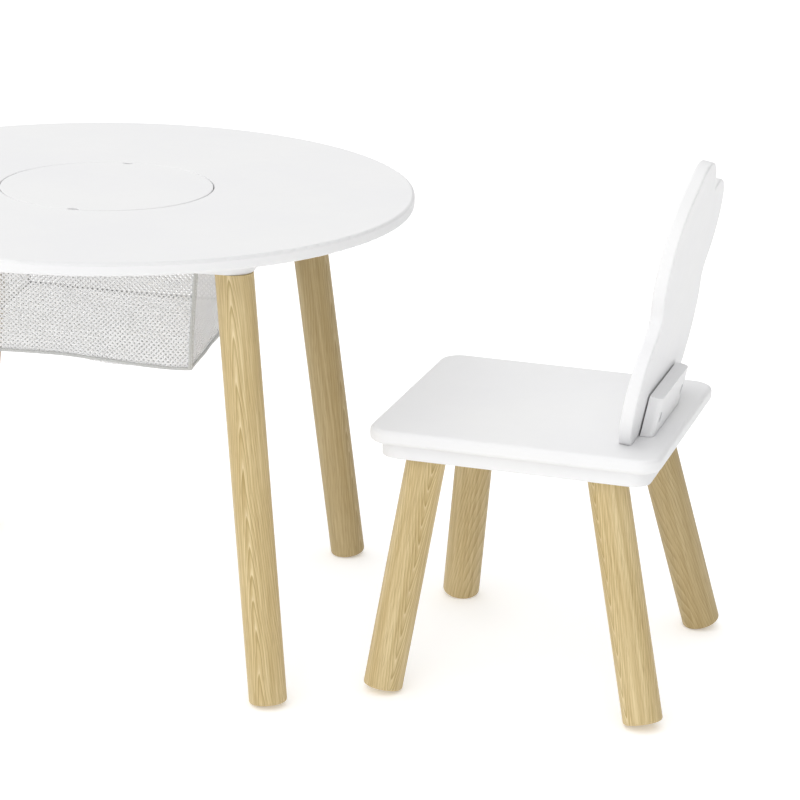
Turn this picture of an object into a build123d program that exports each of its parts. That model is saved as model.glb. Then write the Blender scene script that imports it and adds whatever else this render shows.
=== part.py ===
"""A child's round table with a lift-out lid over a mesh bag, and one chair with a cloud-shaped back.

Millimetres, +Z up. The origin is on the floor, under the middle of the whole set's box.
+X runs from the table to the chair, and the front of the set is at -Y.
"""

import os
from math import atan, cos, hypot, radians, sin

from build123d import *

# Places on the floor
table_x = -156.8
chair_x = table_x + 440.5
chair_y = -32.0
chair_turn = -7.8

# Table top and lid
table_height = 439.0
top_thickness = 12.5
top_radius = 300.0
rim_rounding = 3.0
lid_radius = 103.5
lid_gap = 1.0
lid_edge_rounding = 0.8
finger_notch_radius = 5.5
finger_notch_angles = (-93.0, 93.0)

# Ring under the top that carries the lid
ledge_inner_radius = 93.0
ledge_outer_radius = 113.0
ledge_thickness = 6.0
ledge_screw_circle = 108.8
ledge_screw_count = 6
ledge_screw_grip = 8.0

# Frame under the top
frame_half = 181.0
frame_corner_radius = 22.0
frame_height = 21.0
frame_edge_rounding = 1.0
rail_width = 63.5
rail_screw_spread = 150.0
rail_screw_grip = 8.0

# Table legs
table_leg_radius = 18.0
table_leg_top = 163.0
table_leg_foot = 209.0
foot_rounding = 3.0

# Storage bag
bag_half = 117.0
bag_bottom = 298.0
mesh_thickness = 1.6
bag_top_gap = 2.0
hem_height = 22.0
hem_thickness = 0.8
piping_radius = 2.0
piping_top_gap = 1.5
batten_thickness = 3.5
batten_height = 13.0
batten_middle = 413.0
batten_length = 204.0
batten_screw_spread = 150.0
batten_screw_length = 18.0

# Chair seat
seat_height = 258.4
seat_depth = 278.0
seat_width = 272.0
seat_thickness = 14.0
seat_corner_radius = 22.0
seat_edge_rounding = 4.5
base_inset = 10.5
base_thickness = 15.5
base_corner_radius = 17.0
base_edge_rounding = 1.5
base_screw_spread = 80.0
base_screw_grip = 9.0

# Chair legs: distance from the seat's middle, along its depth and its width
chair_leg_radius = 18.75
chair_leg_front = (-89.5, -115.0)
chair_leg_back = (83.0, 138.5)
chair_leg_side = (92.0, 136.0)

# Chair back: an outline of round lobes with hollows between them, leaning back
back_thickness = 12.5
back_lean = 10.65
back_foot = 105.0
back_edge_rounding = 2.0
bottom_chamfer = 0.8
# Lobes: how far across, how far up, and radius. The large lobe runs from one circle to another.
near_lower_lobe = (-55.4, 50.7, 64.2)
large_lobe_start = (-47.8, 176.1, 66.8)
large_lobe_end = (-24.6, 198.5, 60.0)
small_lobe = (56.8, 173.6, 51.4)
far_lower_lobe = (23.6, 62.9, 87.8)
near_waist_rounding = 22.6
notch_rounding = 7.5
far_waist_rounding = 18.2
# How far the back and its block are drawn past the seat's face, where they are cut off level
back_cut = 6.0

# Block that holds the back
block_length = 120.0
block_height = 41.0
block_depth = 12.5
block_gap = 1.5
block_corner_radius = 5.0
block_across = -4.0
block_screw_spread = 40.0
block_screw_grip = 22.0
block_bolt_spread = 94.0
block_bolt_height = 20.0
bolt_in_back = 9.0

# Fasteners: radii and lengths
hanger_radius = 4.0
hanger_chamfer = 0.8
hanger_in_leg = 32.0
hanger_in_board = 13.0
insert_radius = 6.0
insert_length = 11.5
insert_start = 2.2
screw_radius = 2.0
screw_head_radius = 4.0
small_screw_radius = 1.5
small_screw_head_radius = 3.0
screw_tip_taper = 40.0
bolt_radius = 3.0
bolt_head_radius = 4.8
bolt_head_height = 3.0
bolt_socket_radius = 2.0
bolt_recess_radius = 5.4
bolt_recess_depth = 5.0
barrel_radius = 4.5

top_underside = table_height - top_thickness
frame_underside = top_underside - frame_height
rail_inner = frame_half - rail_width
bag_inner = bag_half - mesh_thickness
bag_top = top_underside - bag_top_gap
hem_inner = bag_inner - hem_thickness
base_top = seat_height - seat_thickness
base_underside = base_top - base_thickness

table_plane = Plane(origin=(table_x, 0, 0))
chair_plane = Plane(
    origin=(chair_x, chair_y, 0),
    x_dir=(cos(radians(chair_turn)), sin(radians(chair_turn)), 0),
    z_dir=(0, 0, 1),
)

os.makedirs("parts", exist_ok=True)


def save(builder, name):
    """Label a finished piece and write it as its own STEP file."""
    builder.part.label = name
    export_step(builder.part, f"parts/{name}.step")


def side_plane(quarter, height=0.0):
    """A level plane on the table's axis, turned so that its Y points out of one of the four sides."""
    return table_plane.rotated((0, 0, 90 * quarter)).offset(height)


# ---------------------------------------------------------------- legs and their bolts


def leg_axis(base, top, foot, top_height, radius):
    """The plane of a leg's foot: centred on the leg, square to it, its normal up the leg.

    The foot's lowest edge touches the floor, so its centre stands a little above it.
    """
    lift = 0.0
    for _ in range(4):
        splay = atan(hypot(foot[0] - top[0], foot[1] - top[1]) / (top_height - lift))
        lift = (radius - foot_rounding) * sin(splay) + foot_rounding * (1 - cos(splay))
    foot_point = base.from_local_coords(Vector(foot[0], foot[1], lift))
    top_point = base.from_local_coords(Vector(top[0], top[1], top_height))
    return Plane(origin=foot_point, z_dir=top_point - foot_point), (top_point - foot_point).length


def make_leg(axis, length, radius, top_height, bolts):
    """A round leg, cut level at the top and square at the foot, bored for its bolt."""
    with BuildPart() as leg:
        with BuildSketch(axis):
            Circle(radius)
        extrude(amount=length + radius)
        fillet(leg.edges().sort_by(Axis.Z)[0], foot_rounding)
        split(bisect_by=Plane.XY.offset(top_height), keep=Keep.BOTTOM)
        add(bolts.part, mode=Mode.SUBTRACT)
    return leg


def make_hanger_bolts(axes):
    """Threaded rods, half in each leg and half in the board above it."""
    with BuildPart() as bolts:
        for axis, length in axes:
            with BuildSketch(axis.offset(length - hanger_in_leg)):
                Circle(hanger_radius)
            extrude(amount=hanger_in_leg + hanger_in_board)
            chamfer(bolts.edges(Select.LAST).filter_by(GeomType.CIRCLE), hanger_chamfer)
    return bolts


def make_inserts(axes):
    """Threaded sleeves set in the board above each leg."""
    with BuildPart() as inserts:
        for axis, length in axes:
            with BuildSketch(axis.offset(length + insert_start)):
                Circle(insert_radius)
                Circle(hanger_radius, mode=Mode.SUBTRACT)
            extrude(amount=insert_length)
    return inserts


def make_bores(axes):
    """The holes for the inserts and the bolts' ends, to be cut in the board above each leg."""
    with BuildPart() as bores:
        for axis, length in axes:
            with BuildSketch(axis.offset(length - insert_start)):
                Circle(insert_radius)
            extrude(amount=insert_start * 2 + insert_length)
    return bores


# Each corner's side along X and Y. The table's front is the set's; the chair faces the table.
table_corners = {"front_left": (-1, -1), "front_right": (1, -1), "back_left": (-1, 1), "back_right": (1, 1)}
chair_corners = {"front_left": (-1, -1), "front_right": (-1, 1), "back_left": (1, -1), "back_right": (1, 1)}

table_leg_axes = {}
for corner, (side_x, side_y) in table_corners.items():
    leg_top = (side_x * table_leg_top, side_y * table_leg_top)
    leg_foot = (side_x * table_leg_foot, side_y * table_leg_foot)
    table_leg_axes[corner] = leg_axis(table_plane, leg_top, leg_foot, frame_underside, table_leg_radius)

table_leg_bolts = make_hanger_bolts(table_leg_axes.values())
save(table_leg_bolts, "table_leg_bolts")
table_leg_inserts = make_inserts(table_leg_axes.values())
save(table_leg_inserts, "table_leg_inserts")
table_leg_bores = make_bores(table_leg_axes.values())
for corner, (axis, length) in table_leg_axes.items():
    table_leg = make_leg(axis, length, table_leg_radius, frame_underside, table_leg_bolts)
    save(table_leg, f"table_leg_{corner}")

# ---------------------------------------------------------------- screws


def make_screws(planes, radius, head_radius, length):
    """Countersunk wood screws, each with its head's face on a plane, pointing along its normal."""
    head_depth = head_radius - radius
    with BuildPart() as screws:
        for plane in planes:
            with BuildSketch(plane):
                Circle(head_radius)
            extrude(amount=head_depth, taper=45)
            with BuildSketch(plane):
                Circle(radius)
            extrude(amount=length - radius)
            with BuildSketch(plane.offset(length - radius)):
                Circle(radius)
            extrude(amount=radius, taper=screw_tip_taper)
    return screws


rail_screw_planes = []
for quarter in range(4):
    for along in (-rail_screw_spread / 2, rail_screw_spread / 2):
        rail_middle = Vector(along, rail_inner + rail_width / 2, frame_underside)
        screw_spot = side_plane(quarter).from_local_coords(rail_middle)
        rail_screw_planes.append(Plane(origin=screw_spot, z_dir=(0, 0, 1)))
rail_screws = make_screws(rail_screw_planes, screw_radius, screw_head_radius, frame_height + rail_screw_grip)
save(rail_screws, "rail_screws")

ledge_underside = top_underside - ledge_thickness
ledge_screw_planes = []
for step in range(ledge_screw_count):
    screw_angle = radians(360 / ledge_screw_count * (step + 0.5))
    screw_x = table_x + ledge_screw_circle * cos(screw_angle)
    screw_y = ledge_screw_circle * sin(screw_angle)
    ledge_screw_planes.append(Plane(origin=(screw_x, screw_y, ledge_underside), z_dir=(0, 0, 1)))
ledge_screws = make_screws(
    ledge_screw_planes, small_screw_radius, small_screw_head_radius, ledge_thickness + ledge_screw_grip
)
save(ledge_screws, "ledge_screws")

batten_face = hem_inner - batten_thickness
batten_screw_planes = []
for quarter in range(4):
    for along in (-batten_screw_spread / 2, batten_screw_spread / 2):
        side = side_plane(quarter)
        screw_spot = side.from_local_coords(Vector(along, batten_face, batten_middle))
        batten_screw_planes.append(Plane(origin=screw_spot, z_dir=side.y_dir))
batten_screws = make_screws(
    batten_screw_planes, small_screw_radius, small_screw_head_radius, batten_screw_length
)
save(batten_screws, "batten_screws")

# ---------------------------------------------------------------- table top, lid and frame

with BuildPart() as table_top:
    with BuildSketch(table_plane.offset(top_underside)):
        Circle(top_radius)
        Circle(lid_radius + lid_gap, mode=Mode.SUBTRACT)
    extrude(amount=top_thickness)
    circles = table_top.edges().filter_by(GeomType.CIRCLE)
    fillet(circles.filter_by(lambda edge: edge.radius > top_radius / 2), rim_rounding)
    circles = table_top.edges().filter_by(GeomType.CIRCLE)
    hole_edges = circles.filter_by(lambda edge: edge.radius < top_radius / 2)
    fillet(hole_edges.sort_by(Axis.Z)[-1], lid_edge_rounding)
    add(rail_screws.part, mode=Mode.SUBTRACT)
    add(ledge_screws.part, mode=Mode.SUBTRACT)
save(table_top, "table_top")

with BuildPart() as lid:
    with BuildSketch(table_plane.offset(top_underside)):
        Circle(lid_radius)
        for notch_angle in finger_notch_angles:
            notch_x = lid_radius * cos(radians(notch_angle))
            notch_y = lid_radius * sin(radians(notch_angle))
            with Locations((notch_x, notch_y)):
                Circle(finger_notch_radius, mode=Mode.SUBTRACT)
    extrude(amount=top_thickness)
    fillet(lid.faces().sort_by(Axis.Z)[-1].edges(), lid_edge_rounding)
save(lid, "lid")

with BuildPart() as lid_ledge:
    with BuildSketch(table_plane.offset(ledge_underside)):
        Circle(ledge_outer_radius)
        Circle(ledge_inner_radius, mode=Mode.SUBTRACT)
    extrude(amount=ledge_thickness)
    add(ledge_screws.part, mode=Mode.SUBTRACT)
save(lid_ledge, "lid_ledge")


def make_rail(along_x, side):
    """One rail of the square frame; the front and back rails run the full length."""
    with BuildPart() as rail:
        with BuildSketch(table_plane.offset(frame_underside)):
            RectangleRounded(2 * frame_half, 2 * frame_half, frame_corner_radius)
        extrude(amount=frame_height)
        fillet(rail.faces().sort_by(Axis.Z)[0].edges(), frame_edge_rounding)
        middle = side * (rail_inner + rail_width / 2)
        with BuildSketch(table_plane.offset(frame_underside)):
            if along_x:
                with Locations((0, middle)):
                    Rectangle(2 * frame_half, rail_width)
            else:
                with Locations((middle, 0)):
                    Rectangle(rail_width, 2 * rail_inner)
        extrude(amount=frame_height, mode=Mode.INTERSECT)
        add(table_leg_bores.part, mode=Mode.SUBTRACT)
        add(rail_screws.part, mode=Mode.SUBTRACT)
        add(batten_screws.part, mode=Mode.SUBTRACT)
    return rail


save(make_rail(True, -1), "rail_front")
save(make_rail(True, 1), "rail_back")
save(make_rail(False, -1), "rail_left")
save(make_rail(False, 1), "rail_right")

# ---------------------------------------------------------------- storage bag


def make_side_panel(along_x, side):
    """A flat side of the bag; the front and back panels cover the ends of the other two."""
    length = 2 * (bag_half if along_x else bag_inner)
    middle = side * (bag_half - mesh_thickness / 2)
    with BuildPart() as panel:
        with BuildSketch(table_plane.offset(bag_bottom)):
            with Locations((0, middle) if along_x else (middle, 0)):
                Rectangle(length if along_x else mesh_thickness, mesh_thickness if along_x else length)
        extrude(amount=bag_top - bag_bottom)
        add(batten_screws.part, mode=Mode.SUBTRACT)
    return panel


bag_panels = {
    "bag_panel_front": make_side_panel(True, -1),
    "bag_panel_back": make_side_panel(True, 1),
    "bag_panel_left": make_side_panel(False, -1),
    "bag_panel_right": make_side_panel(False, 1),
}

with BuildPart() as bag_floor:
    with BuildSketch(table_plane.offset(bag_bottom)):
        Rectangle(2 * bag_inner, 2 * bag_inner)
    extrude(amount=mesh_thickness)
bag_panels["bag_panel_bottom"] = bag_floor

for panel_name, panel in bag_panels.items():
    save(panel, panel_name)

with BuildPart() as bag_piping:
    piping_top = frame_underside - piping_top_gap
    for quarter in range(4):
        side = side_plane(quarter)
        corner_spot = side.from_local_coords(Vector(bag_half, bag_half, bag_bottom))
        with BuildSketch(Plane(origin=corner_spot, z_dir=(0, 0, 1))):
            Circle(piping_radius)
        extrude(amount=piping_top - bag_bottom)
        with BuildSketch(Plane(origin=corner_spot, z_dir=-side.y_dir)):
            Circle(piping_radius)
        extrude(amount=2 * bag_half)
        with Locations(corner_spot):
            Sphere(piping_radius)
    for panel in bag_panels.values():
        add(panel.part, mode=Mode.SUBTRACT)
    inside = Box(2 * bag_inner, 2 * bag_inner, 8 * piping_radius, mode=Mode.PRIVATE)
    add(inside.moved(Location((table_x, 0, bag_bottom))), mode=Mode.SUBTRACT)
save(bag_piping, "bag_piping")

with BuildPart() as bag_hem:
    with BuildSketch(table_plane.offset(bag_top - hem_height)):
        Rectangle(2 * bag_inner, 2 * bag_inner)
        Rectangle(2 * hem_inner, 2 * hem_inner, mode=Mode.SUBTRACT)
    extrude(amount=hem_height)
    add(batten_screws.part, mode=Mode.SUBTRACT)
save(bag_hem, "bag_hem")

with BuildPart() as bag_battens:
    for quarter in range(4):
        with BuildSketch(side_plane(quarter, batten_middle - batten_height / 2)):
            with Locations((0, hem_inner - batten_thickness / 2)):
                Rectangle(batten_length, batten_thickness)
        extrude(amount=batten_height)
    add(batten_screws.part, mode=Mode.SUBTRACT)
save(bag_battens, "bag_battens")

# ---------------------------------------------------------------- chair legs

chair_leg_axes = {}
for corner, (side_x, side_y) in chair_corners.items():
    depth_top, depth_foot = chair_leg_front if side_x < 0 else chair_leg_back
    leg_top = (depth_top, side_y * chair_leg_side[0])
    leg_foot = (depth_foot, side_y * chair_leg_side[1])
    chair_leg_axes[corner] = leg_axis(chair_plane, leg_top, leg_foot, base_underside, chair_leg_radius)

chair_leg_bolts = make_hanger_bolts(chair_leg_axes.values())
save(chair_leg_bolts, "chair_leg_bolts")
chair_leg_inserts = make_inserts(chair_leg_axes.values())
save(chair_leg_inserts, "chair_leg_inserts")
chair_leg_bores = make_bores(chair_leg_axes.values())
for corner, (axis, length) in chair_leg_axes.items():
    chair_leg = make_leg(axis, length, chair_leg_radius, base_underside, chair_leg_bolts)
    save(chair_leg, f"chair_leg_{corner}")

# ---------------------------------------------------------------- chair back

# The back's own plane: on its rear face, X across the chair, Y up the back, normal to the rear.
lean = radians(back_lean)
back_normal = Vector(cos(lean), 0, -sin(lean))
back_plane = Plane(
    origin=chair_plane.from_local_coords(Vector(back_foot, 0, seat_height)),
    x_dir=chair_plane.y_dir,
    z_dir=chair_plane.from_local_coords(back_normal) - chair_plane.origin,
)
bolt_spots = [(block_across + side * block_bolt_spread / 2, block_bolt_height) for side in (-1, 1)]
block_rear = block_gap + block_depth
bolt_seat = block_rear - bolt_recess_depth

with BuildPart() as back_bolts:
    with BuildSketch(back_plane.offset(-bolt_in_back)):
        with Locations(*bolt_spots):
            Circle(bolt_radius)
    extrude(amount=bolt_in_back + bolt_seat)
    with BuildSketch(back_plane.offset(bolt_seat)):
        with Locations(*bolt_spots):
            Circle(bolt_head_radius)
            RegularPolygon(bolt_socket_radius, 6, mode=Mode.SUBTRACT)
    extrude(amount=bolt_head_height)
save(back_bolts, "back_bolts")

with BuildPart() as back_inserts:
    with BuildSketch(back_plane.offset(-bolt_in_back)):
        with Locations(*bolt_spots):
            Circle(barrel_radius)
            Circle(bolt_radius, mode=Mode.SUBTRACT)
    extrude(amount=bolt_in_back)
save(back_inserts, "back_inserts")

# The block leans back, so its upright screws stand where its middle is at half their grip.
block_middle = back_foot + block_gap + block_depth / 2 + block_screw_grip / 2 * sin(lean)
block_screw_planes = []
for along in (-block_screw_spread / 2, block_screw_spread / 2):
    screw_spot = chair_plane.from_local_coords(Vector(block_middle, block_across + along, base_underside))
    block_screw_planes.append(Plane(origin=screw_spot, z_dir=(0, 0, 1)))
block_screw_length = base_thickness + seat_thickness + block_screw_grip
block_screws = make_screws(block_screw_planes, screw_radius, screw_head_radius, block_screw_length)
save(block_screws, "block_screws")

base_screw_planes = []
for depth_side in (-1, 1):
    for width_side in (-1, 1):
        spot = Vector(depth_side, width_side, 0) * (base_screw_spread / 2) + Vector(0, 0, base_underside)
        base_screw_planes.append(Plane(origin=chair_plane.from_local_coords(spot), z_dir=(0, 0, 1)))
base_screw_length = base_thickness + base_screw_grip
base_screws = make_screws(base_screw_planes, screw_radius, screw_head_radius, base_screw_length)
save(base_screws, "base_screws")


def crossing(first, second):
    """Where the edges of two lobes cross, left of the way from the first to the second."""
    start, end = Vector(first[0], first[1]), Vector(second[0], second[1])
    distance = (end - start).length
    ahead = (end - start).normalized()
    forward = (distance**2 + first[2] ** 2 - second[2] ** 2) / (2 * distance)
    sideways = (first[2] ** 2 - forward**2) ** 0.5
    return start + ahead * forward + Vector(-ahead.Y, ahead.X) * sideways


lobes = [near_lower_lobe, large_lobe_start, large_lobe_end, small_lobe, far_lower_lobe]
hollows = [
    (near_lower_lobe, large_lobe_start, near_waist_rounding),
    (large_lobe_end, small_lobe, notch_rounding),
    (small_lobe, far_lower_lobe, far_waist_rounding),
]

with BuildSketch() as large_lobe:
    for across, up, radius in (large_lobe_start, large_lobe_end):
        with Locations((across, up)):
            Circle(radius)
    make_hull()

with BuildSketch() as cloud:
    with BuildLine():
        Polyline(*[(across, up) for across, up, radius in lobes], close=True)
    make_face()
    for across, up, radius in (near_lower_lobe, small_lobe, far_lower_lobe):
        with Locations((across, up)):
            Circle(radius)
    add(large_lobe.sketch)
    for first, second, rounding in hollows:
        hollow_corner = cloud.vertices().sort_by_distance(crossing(first, second))[0]
        fillet(hollow_corner, rounding)

with BuildPart() as backrest:
    with BuildSketch(back_plane):
        add(cloud.sketch)
    extrude(amount=-back_thickness)
    faces_by_normal = backrest.faces().sort_by(Axis(back_plane.origin, back_plane.z_dir))
    fillet(faces_by_normal[0].edges() + faces_by_normal[-1].edges(), back_edge_rounding)
    split(bisect_by=Plane.XY.offset(seat_height), keep=Keep.TOP)
    chamfer(backrest.faces().sort_by(Axis.Z)[0].edges(), bottom_chamfer)
    add(back_bolts.part, mode=Mode.SUBTRACT)
    add(back_inserts.part, mode=Mode.SUBTRACT)
save(backrest, "backrest")

with BuildPart() as back_block:
    with BuildSketch(back_plane.offset(block_gap)):
        with Locations((block_across, (block_height - back_cut) / 2)):
            Rectangle(block_length, block_height + back_cut)
    extrude(amount=block_depth)
    rear_face = back_block.faces().sort_by(Axis(back_plane.origin, back_plane.z_dir))[-1]
    end_edges = rear_face.edges().sort_by(Axis(back_plane.origin, back_plane.x_dir))
    fillet([end_edges[0], end_edges[-1]], block_corner_radius)
    split(bisect_by=Plane.XY.offset(seat_height), keep=Keep.TOP)
    chamfer(back_block.faces().sort_by(Axis.Z)[0].edges(), bottom_chamfer)
    with BuildSketch(back_plane.offset(bolt_seat)):
        with Locations(*bolt_spots):
            Circle(bolt_recess_radius)
    extrude(amount=bolt_recess_depth, mode=Mode.SUBTRACT)
    add(back_bolts.part, mode=Mode.SUBTRACT)
    add(block_screws.part, mode=Mode.SUBTRACT)
save(back_block, "back_block")

# ---------------------------------------------------------------- chair seat

with BuildPart() as seat_board:
    with BuildSketch(chair_plane.offset(base_top)):
        RectangleRounded(seat_depth, seat_width, seat_corner_radius)
    extrude(amount=seat_thickness)
    level_faces = seat_board.faces().filter_by(Axis.Z)
    fillet(level_faces.edges(), seat_edge_rounding)
    add(base_screws.part, mode=Mode.SUBTRACT)
    add(block_screws.part, mode=Mode.SUBTRACT)
save(seat_board, "seat_board")

with BuildPart() as seat_base:
    with BuildSketch(chair_plane.offset(base_underside)):
        RectangleRounded(seat_depth - 2 * base_inset, seat_width - 2 * base_inset, base_corner_radius)
    extrude(amount=base_thickness)
    fillet(seat_base.faces().sort_by(Axis.Z)[0].edges(), base_edge_rounding)
    add(chair_leg_bores.part, mode=Mode.SUBTRACT)
    add(base_screws.part, mode=Mode.SUBTRACT)
    add(block_screws.part, mode=Mode.SUBTRACT)
save(seat_base, "seat_base")
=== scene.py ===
"""Looks for a child's round table with a mesh storage bag, and its chair with a cloud-shaped back.

Metres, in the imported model's frame: +Z up, the floor at z = 0, +X from the table to the chair.
White paint, ash legs, zinc fasteners, a sewn net bag, a pale studio floor, soft light and the camera.
"""
import math

import bpy
import numpy as np
from mathutils import Matrix, Vector


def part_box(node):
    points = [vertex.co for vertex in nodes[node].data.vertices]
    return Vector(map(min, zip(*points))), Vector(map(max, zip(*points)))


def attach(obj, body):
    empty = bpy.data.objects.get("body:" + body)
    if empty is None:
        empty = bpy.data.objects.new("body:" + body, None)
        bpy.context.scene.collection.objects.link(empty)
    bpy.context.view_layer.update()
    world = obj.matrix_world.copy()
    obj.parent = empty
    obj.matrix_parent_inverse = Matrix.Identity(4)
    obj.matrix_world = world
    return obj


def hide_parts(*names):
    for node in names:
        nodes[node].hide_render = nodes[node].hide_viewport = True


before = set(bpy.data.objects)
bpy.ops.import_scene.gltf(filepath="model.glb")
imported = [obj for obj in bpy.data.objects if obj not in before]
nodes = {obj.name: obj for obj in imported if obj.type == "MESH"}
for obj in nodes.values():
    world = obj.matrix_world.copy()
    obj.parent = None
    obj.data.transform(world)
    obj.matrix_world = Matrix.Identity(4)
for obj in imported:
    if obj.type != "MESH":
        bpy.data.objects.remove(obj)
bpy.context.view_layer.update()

# ---------------------------------------------------------------- sizes and places

MM = 0.001

table_low, table_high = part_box("table_top")
table_axis = Vector(((table_low.x + table_high.x) / 2, (table_low.y + table_high.y) / 2, 0))

# Camera: its place from the table's axis, how it is turned, and its lens and sensor in millimetres
CAMERA_FROM_TABLE = Vector((0.7065, -2.6426, 1.0748))
CAMERA_YAW = math.radians(-8.87)
CAMERA_PITCH = math.radians(17.29)
CAMERA_ROLL = math.radians(-1.49)
CAMERA_LENS = 128.8
SENSOR_WIDTH = 36.0
CAMERA_NEAR = 0.1
CAMERA_FAR = 100.0

# Light: a white sky that is brighter overhead and on the left, and one large soft lamp in front
SKY_LEVEL = 0.50
SKY_TO_LEFT = 0.44
SKY_TO_TOP = 0.72
KEY_STRENGTH = 0.54
KEY_SOFTNESS = math.radians(40)
KEY_HEIGHT = math.radians(35)

# Stage: a floor that glows a little, and a wall far off all round it
FLOOR_SIZE = 60.0
FLOOR_GLOW = 0.24
BACKDROP_RADIUS = 29.0
BACKDROP_HEIGHT = 7.0
BACKDROP_SIDES = 64

# Net: a diamond cell's diagonal, the hole's share of a cell, the thread, and how far the knots stand
# out. The back wall's cells are larger, so that the front wall's net doesn't beat against them.
NET_CELL = 4.88 * MM
BACK_NET_CELL = 5.32 * MM
NET_HOLE = 0.60
NET_THICKNESS = 0.20 * MM
NET_RELIEF = 0.05 * MM

# The step along a surface that gives its slope, as a share of its size
SLOPE_STEP = 1e-3

# Bag: its corners as seen from above, in sides of -1 or 1, with how each one hangs away from the
# square bag at the bottom
CORNER_HANG = {
    (-1, -1): Vector((1.0, -3.0, 2.5)) * MM,
    (1, -1): Vector((-4.5, -6.0, -1.0)) * MM,
    (1, 1): Vector((1.0, 5.0, 1.0)) * MM,
    (-1, 1): Vector((-0.5, 9.0, 3.0)) * MM,
}

# Each wall's two corners, and how far its bottom edge rises between them in millimetres, as the three
# numbers of a curve along it from -1 to 1: how high, how tilted and how curled
WALLS = {
    "front": ((-1, -1), (1, -1)),
    "right": ((1, -1), (1, 1)),
    "back": ((1, 1), (-1, 1)),
    "left": ((-1, 1), (-1, -1)),
}
EDGE_RISE = {
    "front": (2.5, -3.6, -4.9),
    "right": (0.6, 1.2, 0.0),
    "back": (-2.0, 1.5, 1.0),
    "left": (1.5, -1.0, 0.5),
}

# Hang of the walls: how far down it starts, how it grows from there, and how far the seams draw in
HUNG_FROM = 0.17
HUNG_GROWTH = 1.15
SEAM_PINCH = 1.2 * MM

# Bow and ripples of the walls: how deep they are and how they fade near the bottom. A ripple has a
# height, waves to a wave length, a shift from wall to wall and a lean down the wall, both in radians.
WALL_BOW = 2.5 * MM
BOW_STOPS = 0.8
WALL_WAVE = 0.8 * MM
WAVE_FADE = 1.4
WAVE_LENGTH = 80 * MM
WALL_RIPPLES = ((1.0, 1.0, 2.1, 2.2), (0.6, 1.7, -2.1, -3.1))

# Sag and ripples of the bag's floor. A ripple has a height, its radians from left to right and from
# front to back, and where it starts.
FLOOR_SAG = 5.0 * MM
FLOOR_WAVE = 0.9 * MM
FLOOR_RIPPLES = ((1.0, 9.0, 4.0, 0.0), (0.7, -5.0, 13.0, 1.0))

# A soft fold hangs behind the floor's front edge: its place and width along the edge and its distance
# from it, as shares of the floor, and its depth.
FOLD_PLACE = 0.64
FOLD_WIDTH = 0.15
FOLD_BACK = 0.035
FOLD_DEPTH = 4.0 * MM

# Bindings over the corner posts and the bottom edges: half width and half thickness, and how far their
# middles stand out of the net. Those on the edges face outward and a little less down.
POST_TAPE = (2.3 * MM, 1.7 * MM)
POST_PROUD = 0.8 * MM
EDGE_TAPE = (1.7 * MM, 1.3 * MM)
EDGE_PROUD = 0.5 * MM
EDGE_FACES_DOWN = 0.8

# A binding's round end: how far past the end each ring is, in half thicknesses, and its share of the
# full section. Then the points round a binding and along it.
TAPE_END = ((0.8, 0.6), (0.4, 0.88))
TAPE_SIDES = 12
TAPE_STEPS = 60

# Hem: the tape's thickness, how far its outer layer is outside the net and its inner one inside the
# CAD hem's outer face, how high it is rounded over the net's top edge, and its points along one side
HEM_THICKNESS = 0.6 * MM
HEM_CLEARANCE = 0.1 * MM
HEM_INSIDE = 0.9 * MM
HEM_ROUND = 0.6 * MM
HEM_STEPS = 40

# Stitches along the bindings: from one to the next, the thread's length and radius, and its arch
STITCH_STEP = 3.6 * MM
STITCH_LENGTH = 2.5 * MM
STITCH_RADIUS = 0.25 * MM
STITCH_RISE = 0.35 * MM
STITCH_SIDES = 6
STITCH_RINGS = 5

# A leg's side faces are those that point less than this up or down, and its rim is this deep
SIDE_FACE_TILT = 0.7
RIM_DEPTH = 0.1 * MM

# Wood: growth rings round a heart just outside the leg. They taper along the leg, which makes a row of
# arches beside the heart. They are clear as far as HEART_NEAR from it and weaken up to HEART_FAR. The
# last four say how far the heart and the rings are moved about, and how many rings later each leg
# starts than the one before.
RING_WIDTH = 2.5 * MM
TABLE_ARCH_STEP = 32.0 * MM
CHAIR_ARCH_STEP = 19.0 * MM
HEART_DISTANCE = 20.5 * MM
HEART_NEAR = 3.0 * MM
HEART_FAR = 14.0 * MM
HEART_SWAY = 7.0 * MM
RING_WANDER = 7.0 * MM
RING_SHIVER = 0.55 * MM
RING_START = 1.7

# Each leg is a stick of its own: where its heart lies, as a direction round the leg from +X in
# degrees, and how much painted shade darkens it, most on the legs that stand back under the table and
# seat
LEGS = {
    "table_leg_front_left": (250, 0.04),
    "table_leg_front_right": (264, 0.0),
    "table_leg_back_left": (200, 0.12),
    "table_leg_back_right": (335, 0.42),
    "chair_leg_front_left": (298, 0.0),
    "chair_leg_front_right": (175, 0.16),
    "chair_leg_back_left": (228, 0.0),
    "chair_leg_back_right": (10, 0.36),
}

# The other CAD nodes that keep their shape, by finish
PAINTED = (
    "table_top", "lid", "lid_ledge", "rail_front", "rail_back", "rail_left", "rail_right",
    "bag_battens", "seat_board", "seat_base", "backrest", "back_block",
)
STEEL = (
    "ledge_screws", "rail_screws", "batten_screws", "base_screws", "block_screws", "table_leg_bolts",
    "table_leg_inserts", "chair_leg_bolts", "chair_leg_inserts", "back_bolts", "back_inserts",
)


# ---------------------------------------------------------------- shader nodes


def linear(red, green, blue):
    """A colour from its 0 to 255 display values, as the shaders want it."""

    def channel(value):
        share = value / 255
        return share / 12.92 if share <= 0.04045 else ((share + 0.055) / 1.055) ** 2.4

    return (channel(red), channel(green), channel(blue), 1.0)


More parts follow.
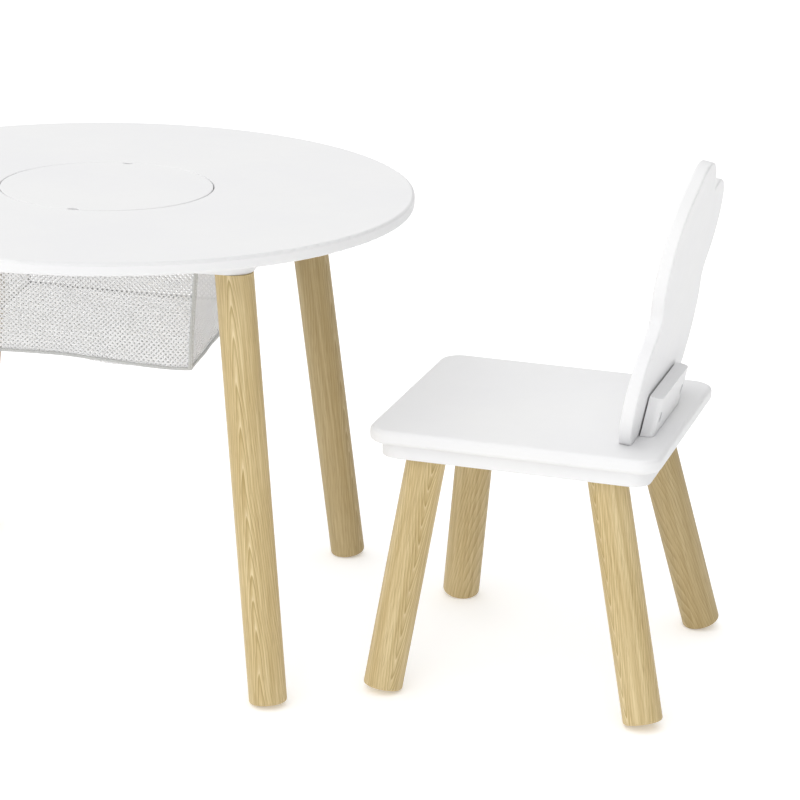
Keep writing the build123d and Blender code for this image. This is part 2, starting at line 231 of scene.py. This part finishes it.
class Tree:
    """A material's node tree, with short calls for the nodes that the finishes use."""

    def __init__(self, name):
        self.material = bpy.data.materials.new(name)
        self.material.use_nodes = True
        self.tree = self.material.node_tree
        self.shader = self.tree.nodes["Principled BSDF"]

    def add(self, kind, inputs, **settings):
        """A node with its settings. An input is a value, or a socket that is linked to it."""
        node = self.tree.nodes.new(kind)
        for name, value in settings.items():
            setattr(node, name, value)
        for name, value in inputs.items():
            self.put(node.inputs[name], value)
        return node

    def put(self, socket, value):
        if isinstance(value, bpy.types.NodeSocket):
            self.tree.links.new(value, socket)
        else:
            socket.default_value = value

    def place(self):
        """Positions on the piece, in metres."""
        return self.add("ShaderNodeTexCoord", {}).outputs["Object"]

    def turn(self, where, rotation, shift):
        inputs = {"Vector": where, "Rotation": rotation, "Location": shift}
        return self.add("ShaderNodeMapping", inputs).outputs[0]

    def stretch(self, where, scale):
        return self.add("ShaderNodeMapping", {"Vector": where, "Scale": scale}).outputs[0]

    def noise(self, where, scale, detail=3.0, roughness=0.5):
        inputs = {"Vector": where, "Scale": scale, "Detail": detail, "Roughness": roughness}
        return self.add("ShaderNodeTexNoise", inputs).outputs["Fac"]

    def bands(self, where, scale, distortion, detail):
        inputs = {"Vector": where, "Scale": scale, "Distortion": distortion, "Detail": detail}
        return self.add("ShaderNodeTexWave", inputs).outputs["Fac"]

    def calc(self, operation, first, second=0.0, third=0.0):
        inputs = {0: first, 1: second, 2: third}
        return self.add("ShaderNodeMath", inputs, operation=operation).outputs[0]

    def between(self, value, low, high, to_low=0.0, to_high=1.0):
        """The value's stretch from low to high, spread smoothly over to_low to to_high."""
        inputs = {"Value": value, 1: low, 2: high, 3: to_low, 4: to_high}
        return self.add("ShaderNodeMapRange", inputs, interpolation_type="SMOOTHSTEP").outputs[0]

    def mix(self, factor, first, second):
        """The first colour, turning into the second as the factor goes from 0 to 1."""
        inputs = {"Factor": factor, 6: first, 7: second}
        return self.add("ShaderNodeMix", inputs, data_type="RGBA").outputs[2]

    def bump(self, height, strength, distance):
        inputs = {"Height": height, "Strength": strength, "Distance": distance}
        return self.add("ShaderNodeBump", inputs).outputs[0]

    def finish(self, **sockets):
        """Sets the shader's sockets, named with _ for a space, and gives the material."""
        for name, value in sockets.items():
            self.put(self.shader.inputs[name.replace("_", " ")], value)
        return self.material


def dress(name, material):
    """Gives a CAD node one material."""
    piece = nodes[name]
    piece.data.materials.clear()
    piece.data.materials.append(material)


# ---------------------------------------------------------------- finishes


def paint_material():
    """Sprayed white satin paint on board: a trace of orange peel, and a sheen and tone that drift."""
    t = Tree("white_satin_paint")
    where = t.place()
    cloudy = t.noise(where, 7.0, detail=2.0)
    speckle = t.noise(where, 900.0, detail=1.0)
    peel = t.noise(where, 420.0, detail=2.0)
    drift = t.noise(where, 60.0)
    tone = t.mix(t.between(cloudy, 0.3, 0.7), linear(233, 233, 234), linear(235, 235, 235))
    tone = t.mix(t.between(speckle, 0.72, 0.8, 0.0, 0.3), tone, linear(226, 226, 225))
    return t.finish(
        Base_Color=tone,
        Roughness=t.between(drift, 0.3, 0.7, 0.42, 0.50),
        Normal=t.bump(peel, 0.12, 0.15 * MM),
        IOR=1.48,
    )


def leg_frame(name):
    """A leg's top middle and its axis, from the directions of its side faces."""
    mesh = nodes[name].data
    sides = [face for face in mesh.polygons if abs(face.normal.z) < SIDE_FACE_TILT]
    normals = np.array([face.normal for face in sides])
    areas = np.array([face.area for face in sides])
    # The side faces turn every way but along the leg, so their spread is least along its axis.
    spread = (normals * areas[:, None]).T @ normals
    axis = Vector(np.linalg.eigh(spread)[1][:, 0])
    if axis.z < 0:
        axis.negate()
    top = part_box(name)[1].z
    rim = [tuple(vertex.co) for vertex in mesh.vertices if vertex.co.z > top - RIM_DEPTH]
    return Vector(np.mean(rim, axis=0)), axis


def growth_rings(t, where, seed, arch_step):
    """The light band that starts each year's wood and the dark line that ends it, each from 0 to 1.

    where is in the leg's frame: across, towards the heart, and along. seed makes its rings its own.
    """
    side, deep, along = t.add("ShaderNodeSeparateXYZ", {"Vector": where}).outputs
    sway = t.noise(t.stretch(where, (0.3, 0.3, 1)), 11.0 + seed, detail=1.0)
    wander = t.noise(t.stretch(where, (1, 1, 0.16)), 34.0 + seed, detail=1.0, roughness=0.4)
    shiver = t.noise(t.stretch(where, (1, 1, 0.12)), 420.0, detail=1.0)
    swayed = t.calc("MULTIPLY_ADD", t.calc("SUBTRACT", sway, 0.5), HEART_SWAY, side)
    reach = t.calc("SUBTRACT", HEART_DISTANCE, deep)
    from_heart = t.calc("SQRT", t.calc("MULTIPLY_ADD", swayed, swayed, t.calc("MULTIPLY", reach, reach)))
    radius = t.calc("MULTIPLY_ADD", along, RING_WIDTH / arch_step, from_heart)
    radius = t.calc("MULTIPLY_ADD", wander, RING_WANDER, radius)
    radius = t.calc("MULTIPLY_ADD", shiver, RING_SHIVER, radius)
    year = t.calc("FRACT", t.calc("MULTIPLY_ADD", radius, 1 / RING_WIDTH, seed * RING_START))

    # The rings are clear next to the heart, and come and go elsewhere.
    near_heart = t.between(from_heart, HEART_NEAR, HEART_FAR, 1.0, 0.0)
    vary = t.noise(t.stretch(where, (1, 1, 0.05)), 110.0, detail=1.0)
    clear = t.calc("MAXIMUM", t.between(vary, 0.3, 0.7, 0.15, 0.75), near_heart)
    light = t.between(year, 0.0, 0.30, 1.0, 0.0)
    dark = t.calc("MULTIPLY", t.between(year, 0.45, 0.90), t.between(year, 0.90, 1.0, 1.0, 0.0))
    return t.calc("MULTIPLY", light, clear), t.calc("MULTIPLY", dark, clear)


def wood_material(name, seed, heart_angle, painted_shade_depth):
    """Pale ash under clear matt lacquer, its growth rings round a heart just outside the leg.

    The side next to the heart shows narrow arches, and the rest straight grain. The arches point up
    on the table's legs and down on the chair's.
    """
    middle, axis = leg_frame(name)
    arch_step = TABLE_ARCH_STEP
    if name.startswith("chair"):
        arch_step = CHAIR_ARCH_STEP
        axis.negate()
    heart_side = Vector((math.cos(math.radians(heart_angle)), math.sin(math.radians(heart_angle)), 0))
    across = heart_side.cross(axis).normalized()
    into_leg = Matrix((across, axis.cross(across).normalized(), axis))

    t = Tree(f"ash_{name}")
    where = t.turn(t.place(), into_leg.to_euler("XYZ"), -(into_leg @ middle))
    light, dark = growth_rings(t, where, seed, arch_step)
    fibre = t.noise(t.stretch(where, (1, 1, 0.015)), 1300.0, detail=2.0)
    streak = t.noise(t.stretch(where, (1, 1, 0.022)), 330.0, detail=2.0)
    pores = t.between(t.noise(t.stretch(where, (1, 1, 0.03)), 1900.0, detail=0.0), 0.60, 0.72)
    broad = t.noise(t.stretch(where, (1, 1, 0.22)), 28.0 + seed, detail=1.0)

    # Its colour drifts, then come dark and pale streaks, the rings, fibres, pores and painted shade.
    tone = t.mix(t.between(broad, 0.3, 0.7), linear(208, 187, 140), linear(199, 176, 126))
    tone = t.mix(t.between(streak, 0.46, 0.66, 0.0, 0.58), tone, linear(180, 156, 104))
    tone = t.mix(t.between(streak, 0.30, 0.46, 0.52, 0.0), tone, linear(226, 207, 162))
    tone = t.mix(t.calc("MULTIPLY", light, 0.50), tone, linear(231, 213, 172))
    tone = t.mix(t.calc("MULTIPLY", dark, 0.66), tone, linear(158, 134, 70))
    tone = t.mix(t.between(fibre, 0.50, 0.72, 0.0, 0.30), tone, linear(226, 208, 166))
    tone = t.mix(t.calc("MULTIPLY", pores, 0.35), tone, linear(150, 124, 76))
    # Painted shade: the legs that stand back under the table and seat are darkened as if in shadow.
    tone = t.mix(painted_shade_depth, tone, linear(128, 107, 66))

    relief = t.calc("MULTIPLY_ADD", pores, -0.8, t.calc("MULTIPLY", fibre, 0.5))
    relief = t.calc("MULTIPLY_ADD", dark, 0.3, relief)
    return t.finish(
        Base_Color=tone,
        Roughness=t.between(fibre, 0.3, 0.7, 0.46, 0.60),
        Normal=t.bump(relief, 0.35, 0.12 * MM),
    )


def steel_material():
    """Bright zinc plating with a fine spangle and drawn marks."""
    t = Tree("zinc_steel")
    where = t.place()
    spangle = t.noise(where, 700.0, detail=2.0)
    drawn = t.noise(t.stretch(where, (1, 1, 0.08)), 2400.0, detail=1.0)
    return t.finish(
        Base_Color=t.mix(t.between(spangle, 0.35, 0.65), linear(176, 180, 186), linear(206, 208, 211)),
        Metallic=1.0,
        Roughness=t.between(drawn, 0.3, 0.7, 0.26, 0.42),
        Normal=t.bump(drawn, 0.2, 0.05 * MM),
    )


def net_material():
    """White polyester net: knitted threads with a soft sheen, a little light passing through."""
    t = Tree("white_net")
    where = t.place()
    strand = t.noise(where, 1400.0, detail=2.0)
    patch = t.noise(where, 25.0, detail=2.0)
    tone = t.mix(t.between(strand, 0.35, 0.65), linear(229, 229, 230), linear(240, 240, 241))
    tone = t.mix(t.between(patch, 0.35, 0.7, 0.0, 0.35), tone, linear(238, 238, 236))
    return t.finish(
        Base_Color=tone,
        Roughness=0.62,
        Sheen_Weight=0.15,
        Subsurface_Weight=0.3,
        Subsurface_Radius=(1.0, 1.0, 1.0),
        Subsurface_Scale=1.0 * MM,
        Normal=t.bump(strand, 0.35, 0.12 * MM),
    )


def tape_material():
    """Grey-white polyester binding tape: a fine ribbed weave."""
    t = Tree("binding_tape")
    where = t.place()
    ribs = t.bands(where, 260.0, distortion=1.2, detail=1.0)
    fuzz = t.noise(where, 1600.0, detail=2.0)
    tone = t.mix(ribs, linear(184, 185, 184), linear(206, 207, 205))
    tone = t.mix(t.between(fuzz, 0.45, 0.75, 0.0, 0.5), tone, linear(220, 220, 218))
    return t.finish(
        Base_Color=tone,
        Roughness=0.8,
        Sheen_Weight=0.25,
        Normal=t.bump(t.calc("MULTIPLY_ADD", fuzz, 0.6, ribs), 0.5, 0.15 * MM),
    )


def thread_material():
    """White sewing thread: two strands twisted together."""
    t = Tree("sewing_thread")
    twist = t.bands(t.place(), 500.0, distortion=1.0, detail=2.0)
    return t.finish(
        Base_Color=t.mix(twist, linear(222, 222, 222), linear(242, 242, 242)),
        Roughness=0.6,
        Normal=t.bump(twist, 0.4, 0.1 * MM),
    )


def dress_cad_nodes():
    """Gives every CAD node that keeps its shape its finish."""
    paint = paint_material()
    for name in PAINTED:
        dress(name, paint)
    for seed, (name, (heart_angle, painted_shade_depth)) in enumerate(LEGS.items()):
        dress(name, wood_material(name, seed, heart_angle, painted_shade_depth))
    steel = steel_material()
    for name in STEEL:
        dress(name, steel)


# ---------------------------------------------------------------- the bag's shape


panel_low, panel_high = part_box("bag_panel_front")
bag_half = (panel_high.x - panel_low.x) / 2
bag_top = panel_high.z
bag_bottom = panel_low.z
bag_width = 2 * bag_half
bag_height = bag_top - bag_bottom


def hung(down):
    """How freely the net hangs at a height: 0 where the frame holds it, 1 at the bottom."""
    return np.clip((down - HUNG_FROM) / (1 - HUNG_FROM), 0, 1) ** HUNG_GROWTH


def post_point(corner, down):
    """A point on a corner seam, from 0 at the top to 1 at the bottom. down may be an array."""
    down = np.asarray(down, dtype=float)
    free = hung(down)
    hang = CORNER_HANG[corner]
    half = bag_half - NET_THICKNESS - SEAM_PINCH * np.sin(math.pi * free)
    x = table_axis.x + corner[0] * half + hang.x * free
    y = table_axis.y + corner[1] * half + hang.y * free
    z = bag_top - bag_height * down + hang.z * free
    return np.stack([x, y, z], axis=-1)


def wall_point(wall, across, down):
    """A point on one wall of the bag: across runs from its first corner to its second, 0 to 1."""
    across, down = np.broadcast_arrays(np.asarray(across, dtype=float), np.asarray(down, dtype=float))
    first, second = WALLS[wall]
    start, end = post_point(first, down), post_point(second, down)
    point = start + (end - start) * across[..., None]
    free = hung(down)
    middle = np.maximum(4 * across * (1 - across), 0)

    # The wall bows in and ripples.
    number = list(WALLS).index(wall)
    waves = 2 * math.pi * bag_width / WAVE_LENGTH * across
    wave = sum(
        height * np.sin(pace * waves + shift * number + lean * down)
        for height, pace, shift, lean in WALL_RIPPLES
    )
    bow = -WALL_BOW * middle * np.sin(math.pi * np.minimum(free, BOW_STOPS))
    outward = bow + WALL_WAVE * wave * np.sqrt(middle) * free * (WAVE_FADE - free)
    along = np.subtract(second, first) / 2
    point[..., 0] += along[1] * outward
    point[..., 1] -= along[0] * outward

    # The bottom edge rises and falls between its corners.
    flat, tilt, curl = EDGE_RISE[wall]
    place = 2 * across - 1
    point[..., 2] += (flat + tilt * place + curl * place**2) * MM * middle * free**3
    return point


def floor_point(across, back):
    """A point on the bag's floor, 0 to 1 from left to right and from front to back."""
    across, back = np.broadcast_arrays(np.asarray(across, dtype=float), np.asarray(back, dtype=float))

    # The floor is stretched between the walls' bottom edges.
    right, rear = across[..., None], back[..., None]
    front_edge, back_edge = wall_point("front", across, 1), wall_point("back", 1 - across, 1)
    left_edge, right_edge = wall_point("left", 1 - back, 1), wall_point("right", back, 1)
    corners = (
        (1 - right) * (1 - rear) * post_point((-1, -1), 1)
        + right * (1 - rear) * post_point((1, -1), 1)
        + (1 - right) * rear * post_point((-1, 1), 1)
        + right * rear * post_point((1, 1), 1)
    )
    point = (1 - rear) * front_edge + rear * back_edge + (1 - right) * left_edge + right * right_edge
    point -= corners

    # It sags, with low ripples and the fold behind its front edge.
    middle = np.maximum(16 * across * (1 - across) * back * (1 - back), 0)
    wave = sum(
        height * np.sin(sideways * across + backward * back + start)
        for height, sideways, backward, start in FLOOR_RIPPLES
    )
    from_edge = back / FOLD_BACK
    fold = np.exp(-(((across - FOLD_PLACE) / FOLD_WIDTH) ** 2)) * from_edge * np.exp(1 - from_edge)
    point[..., 2] -= FLOOR_SAG * middle**0.5 + FLOOR_WAVE * wave * middle + FOLD_DEPTH * fold
    return point


# ---------------------------------------------------------------- mesh pieces


def unit(vectors):
    """Vectors of length 1, from one vector or rows of them."""
    return vectors / np.linalg.norm(vectors, axis=-1, keepdims=True)


def mesh_piece(name, points, faces, material, smooth=True):
    """A new piece from points in metres and faces."""
    mesh = bpy.data.meshes.new(name)
    mesh.from_pydata([tuple(point) for point in points], [], [tuple(face) for face in faces])
    mesh.polygons.foreach_set("use_smooth", [smooth] * len(mesh.polygons))
    mesh.materials.append(material)
    mesh.update()
    piece = bpy.data.objects.new(name, mesh)
    bpy.context.scene.collection.objects.link(piece)
    return piece


def thicken(piece, thickness):
    """Gives a single skin its thickness, half on each side."""
    cloth = piece.modifiers.new("cloth", "SOLIDIFY")
    cloth.thickness = thickness
    cloth.offset = 0


def add_band(faces, first, count):
    """Adds the faces between two closed rings of points, which follow each other from first on."""
    for k in range(count):
        a, b = first + k, first + (k + 1) % count
        faces.append((a, b, b + count, a + count))


def add_tube(points, faces, rings, sides):
    """Adds a closed tube. Each ring is its centre and the two half axes of its oval."""
    base = len(points)
    for centre, half_wide, half_deep in rings:
        for angle in np.arange(sides) * 2 * math.pi / sides:
            points.append(centre + half_wide * math.cos(angle) + half_deep * math.sin(angle))
    last = base + (len(rings) - 1) * sides
    for first in range(base, last, sides):
        add_band(faces, first, sides)
    faces.append(tuple(reversed(range(base, base + sides))))
    faces.append(tuple(range(last, last + sides)))


def net_piece(name, surface, size, cell, material):
    """A panel of knitted net on a surface: diamond cells, each a ring of thread round its hole.

    The knots are at every second point of a grid with half a cell between its lines. Round the
    sheet's edge, where the seams are, the half cells are closed.
    """
    columns, rows = (2 * round(length / cell) for length in size)
    knots = [(i, j) for j in range(rows + 1) for i in range(columns + 1) if (i + j) % 2 == 0]
    knot_number = {knot: number for number, knot in enumerate(knots)}
    spots = [(i, j, NET_RELIEF) for i, j in knots]
    faces = []
    for j in range(rows + 1):
        for i in range(1 - j % 2, columns + 1, 2):
            around = [(i - 1, j), (i, j + 1), (i + 1, j), (i, j - 1)]
            corners = [knot_number[knot] for knot in around if knot in knot_number]
            if len(corners) < 4:
                faces.append(corners)
                continue
            hole = len(spots)
            spots += [(i + (x - i) * NET_HOLE, j + (y - j) * NET_HOLE, -NET_RELIEF) for x, y in around]
            for k in range(4):
                following = (k + 1) % 4
                faces.append((corners[k], corners[following], hole + following, hole + k))

    i, j, lift = np.array(spots).T
    across, down = i / columns, j / rows
    point = surface(across, down)
    right = surface(across + SLOPE_STEP, down) - point
    below = surface(across, down + SLOPE_STEP) - point
    normal = unit(np.cross(right, below))
    piece = mesh_piece(name, point + normal * lift[:, None], faces, material)
    thicken(piece, NET_THICKNESS)
    return piece


def tape_along(name, paths, half_section, material):
    """Bound seams: a flattened oval tape along each path, with round ends.

    Each path is an array of points with the direction that the tape's narrow side faces.
    """
    half_width, half_depth = half_section
    points, faces = [], []
    for path, facing in paths:
        ahead = unit(np.gradient(path, axis=0))
        wide = unit(np.cross(ahead, facing))
        deep = np.cross(wide, ahead)
        stations = [(0, -past, share) for past, share in TAPE_END]
        stations += [(k, 0.0, 1.0) for k in range(len(path))]
        stations += [(-1, past, share) for past, share in reversed(TAPE_END)]
        rings = []
        for k, past, share in stations:
            centre = path[k] + ahead[k] * half_depth * past
            rings.append((centre, wide[k] * half_width * share, deep[k] * half_depth * share))
        add_tube(points, faces, rings, TAPE_SIDES)
    return mesh_piece(name, points, faces, material)


def stitch_rows(name, rows, material):
    """Rows of lock stitches, each a short arched thread whose two ends meet the cloth.

    Each row is an array of points on the cloth with the direction that it faces.
    """
    points, faces = [], []
    stages = np.linspace(-1, 1, STITCH_RINGS)
    for path, facing in rows:
        lengths = np.concatenate(([0], np.cumsum(np.linalg.norm(np.diff(path, axis=0), axis=1))))
        for middle in np.arange(STITCH_STEP, lengths[-1] - STITCH_STEP / 2, STITCH_STEP):
            spots = middle + stages * STITCH_LENGTH / 2
            line = np.stack([np.interp(spots, lengths, path[:, axis]) for axis in range(3)], axis=-1)
            line += np.outer((1 - stages**2) * STITCH_RISE, facing)
            ahead = unit(line[-1] - line[0])
            wide = unit(np.cross(ahead, facing))
            deep = np.cross(wide, ahead)
            rings = [(centre, wide * STITCH_RADIUS, deep * STITCH_RADIUS) for centre in line]
            add_tube(points, faces, rings, STITCH_SIDES)
    return mesh_piece(name, points, faces, material)


# ---------------------------------------------------------------- bag


def sew_on(piece, node):
    """Hangs a sewn piece under the table, in place of a plain CAD solid."""
    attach(piece, "table")
    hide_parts(node)


def make_bindings(tape):
    """The tapes over the corner seams and the bottom edges, and the stitches along them."""
    steps = np.linspace(0, 1, TAPE_STEPS)
    post_start = (bag_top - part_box("bag_piping")[1].z) / bag_height
    posts = []
    for corner in CORNER_HANG:
        outward = np.array([corner[0], corner[1], 0.0]) / math.sqrt(2)
        path = post_point(corner, post_start + (1 - post_start) * steps) + outward * POST_PROUD
        posts.append((path, outward))
    edges = []
    for wall, (first, second) in WALLS.items():
        along = np.subtract(second, first) / 2
        outward = unit(np.array([along[1], -along[0], -EDGE_FACES_DOWN]))
        edges.append((wall_point(wall, steps, 1.0) + outward * EDGE_PROUD, outward))
    post_piping = tape_along("bag_corner_piping", posts, POST_TAPE, tape)
    edge_piping = tape_along("bag_edge_piping", edges, EDGE_TAPE, tape)
    rows = [(path + outward * POST_TAPE[1], outward) for path, outward in posts]
    rows += [(path + outward * EDGE_TAPE[1], outward) for path, outward in edges]
    stitching = stitch_rows("bag_stitching", rows, thread_material())
    bindings = [post_piping, edge_piping, stitching]
    for binding in bindings:
        sew_on(binding, "bag_piping")
    return bindings


def make_net_panels():
    """The bag's four walls and its bottom."""
    net = net_material()
    for wall in WALLS:
        size = (bag_width, bag_height)
        cell = BACK_NET_CELL if wall == "back" else NET_CELL
        panel = net_piece(
            f"bag_net_{wall}", lambda across, down: wall_point(wall, across, down), size, cell, net
        )
        sew_on(panel, f"bag_panel_{wall}")
    size = (bag_width, bag_width)
    bottom = net_piece("bag_net_bottom", floor_point, size, NET_CELL, net)
    sew_on(bottom, "bag_panel_bottom")


def make_hem(tape):
    """Binding tape folded over the net's top edge, all round."""
    hem_low, hem_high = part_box("bag_hem")
    outer = bag_half + HEM_CLEARANCE
    inner = (hem_high.x - hem_low.x) / 2 - HEM_INSIDE
    profile = [
        (outer, hem_low.z),
        (outer, bag_top),
        ((outer + inner) / 2, bag_top + HEM_ROUND),
        (inner, bag_top),
        (inner, hem_low.z),
    ]
    points, faces = [], []
    for distance, z in profile:
        for first, second in WALLS.values():
            for k in range(HEM_STEPS):
                x, y = np.array(first) + np.subtract(second, first) * (k / HEM_STEPS)
                points.append((table_axis.x + x * distance, table_axis.y + y * distance, z))
    count = len(WALLS) * HEM_STEPS
    for level in range(len(profile) - 1):
        add_band(faces, level * count, count)
    hem = mesh_piece("bag_hem_tape", points, faces, tape, smooth=False)
    thicken(hem, HEM_THICKNESS)
    sew_on(hem, "bag_hem")


def make_bag():
    """The sewn net bag: bound seams with their stitches, five panels of net and a folded hem."""
    tape = tape_material()
    bindings = make_bindings(tape)
    make_net_panels()
    make_hem(tape)


# ---------------------------------------------------------------- studio


def make_floor():
    """A wide pale lit floor."""
    t = Tree("studio_floor")
    tone = t.mix(t.noise(t.place(), 3.0), (0.93, 0.93, 0.93, 1), (0.96, 0.96, 0.96, 1))
    pale = t.finish(
        Base_Color=tone,
        Roughness=0.9,
        Specular_IOR_Level=0.1,
        Emission_Color=(1, 1, 1, 1),
        Emission_Strength=FLOOR_GLOW,
    )
    half = FLOOR_SIZE / 2
    points = [(-half, -half, 0), (half, -half, 0), (half, half, 0), (-half, half, 0)]
    mesh_piece("studio_floor", points, [(0, 1, 2, 3)], pale, smooth=False)


def make_backdrop():
    """A white wall all round, far off. Only the camera sees it, so it neither lights nor shades."""
    t = Tree("studio_backdrop")
    white = t.finish(Base_Color=(0, 0, 0, 1), Emission_Color=(1, 1, 1, 1), Emission_Strength=1.0)
    turn = np.arange(BACKDROP_SIDES) * 2 * math.pi / BACKDROP_SIDES
    ring = np.stack([np.cos(turn), np.sin(turn)], axis=-1) * BACKDROP_RADIUS
    points = [(x, y, z) for z in (0, BACKDROP_HEIGHT) for x, y in ring]
    faces = []
    add_band(faces, 0, BACKDROP_SIDES)
    backdrop = mesh_piece("studio_backdrop", points, faces, white, smooth=False)
    backdrop.visible_diffuse = False
    backdrop.visible_glossy = False
    backdrop.visible_transmission = False
    backdrop.visible_shadow = False


def make_sky():
    """A white sky whose strength changes evenly from side to side and from bottom to top."""
    sky = bpy.data.worlds.new("studio_sky")
    sky.use_nodes = True
    tree = sky.node_tree
    background = tree.nodes["Background"]
    direction = tree.nodes.new("ShaderNodeTexCoord")
    sweep = tree.nodes.new("ShaderNodeVectorMath")
    sweep.operation = "DOT_PRODUCT"
    sweep.inputs[1].default_value = (-SKY_TO_LEFT, 0, SKY_TO_TOP)
    level = tree.nodes.new("ShaderNodeMath")
    level.inputs[1].default_value = SKY_LEVEL
    tree.links.new(direction.outputs["Generated"], sweep.inputs[0])
    tree.links.new(sweep.outputs["Value"], level.inputs[0])
    tree.links.new(level.outputs[0], background.inputs["Strength"])
    background.inputs["Color"].default_value = (1, 1, 1, 1)
    bpy.context.scene.world = sky


def make_key_light():
    """One large soft lamp, straight in front of the set and above it."""
    key = bpy.data.lights.new("key", "SUN")
    key.energy = KEY_STRENGTH
    key.angle = KEY_SOFTNESS
    key_object = bpy.data.objects.new("key", key)
    bpy.context.scene.collection.objects.link(key_object)
    to_light = Vector((0, -math.cos(KEY_HEIGHT), math.sin(KEY_HEIGHT)))
    key_object.rotation_mode = "QUATERNION"
    key_object.rotation_quaternion = to_light.to_track_quat("Z", "Y")


def make_camera():
    """The camera, turned about the vertical, then down, and last about its own line of sight."""
    ahead = Vector((
        math.sin(CAMERA_YAW) * math.cos(CAMERA_PITCH),
        math.cos(CAMERA_YAW) * math.cos(CAMERA_PITCH),
        -math.sin(CAMERA_PITCH),
    ))
    level = Vector((math.cos(CAMERA_YAW), -math.sin(CAMERA_YAW), 0))
    down = ahead.cross(level)
    right = level * math.cos(CAMERA_ROLL) + down * math.sin(CAMERA_ROLL)
    up = level * math.sin(CAMERA_ROLL) - down * math.cos(CAMERA_ROLL)
    camera = bpy.data.cameras.new("camera")
    camera.lens = CAMERA_LENS
    camera.sensor_width = SENSOR_WIDTH
    camera.clip_start = CAMERA_NEAR
    camera.clip_end = CAMERA_FAR
    camera_object = bpy.data.objects.new("camera", camera)
    bpy.context.scene.collection.objects.link(camera_object)
    axes = Matrix((right, up, -ahead)).transposed().to_4x4()
    camera_object.matrix_world = Matrix.Translation(table_axis + CAMERA_FROM_TABLE) @ axes
    bpy.context.scene.camera = camera_object


dress_cad_nodes()
make_bag()
make_floor()
make_backdrop()
make_sky()
make_key_light()
make_camera()
bpy.context.scene.view_settings.view_transform = "Standard"
